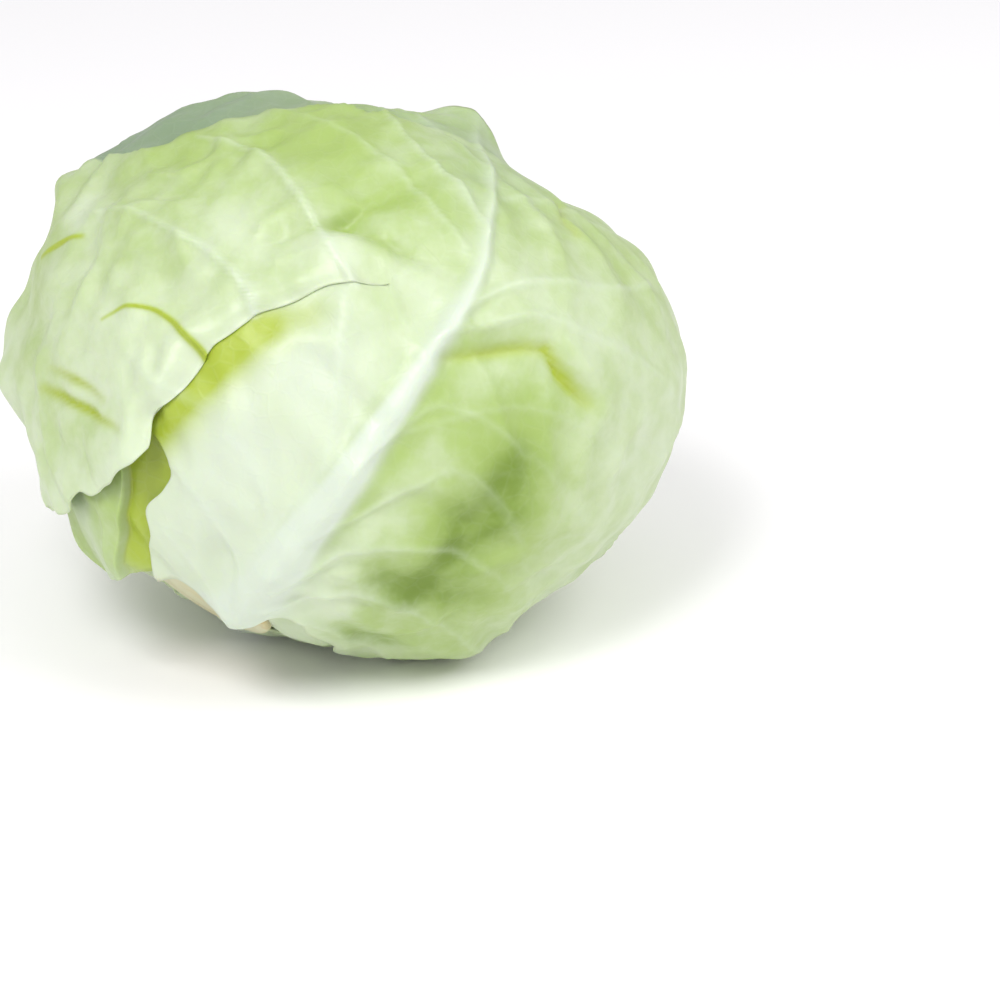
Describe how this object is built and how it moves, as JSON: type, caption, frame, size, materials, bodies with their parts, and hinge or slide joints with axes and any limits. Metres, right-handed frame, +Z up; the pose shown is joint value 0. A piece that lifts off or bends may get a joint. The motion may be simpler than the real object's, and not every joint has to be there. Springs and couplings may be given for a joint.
{
  "type": "cabbage head",
  "caption": "Head of white cabbage as picked, lying on its side, with torn outermost leaf, waved leaf margins, raised ribs and a cut stem.",
  "frame": {"origin": "centre of the bounding box at floor level, under the head", "axes": "+Z up from the floor; +X to the right and +Y away from a viewer who faces the outermost leaf; the butt with the cut stem points down to the front left and the crown up to the back right"},
  "size_m": [0.1982, 0.1777, 0.157],
  "materials": {
    "outer_leaf": "satin",
    "inner_leaf": "satin",
    "heart_leaf": "satin",
    "cut_stem": "matte"
  },
  "bodies": {
    "root": {"leaf_1": "outer_leaf", "leaf_2": "outer_leaf", "leaf_3": "outer_leaf", "leaf_4": "inner_leaf", "leaf_5": "inner_leaf", "heart": "heart_leaf", "stem": "cut_stem"}
  },
  "joints": []
}
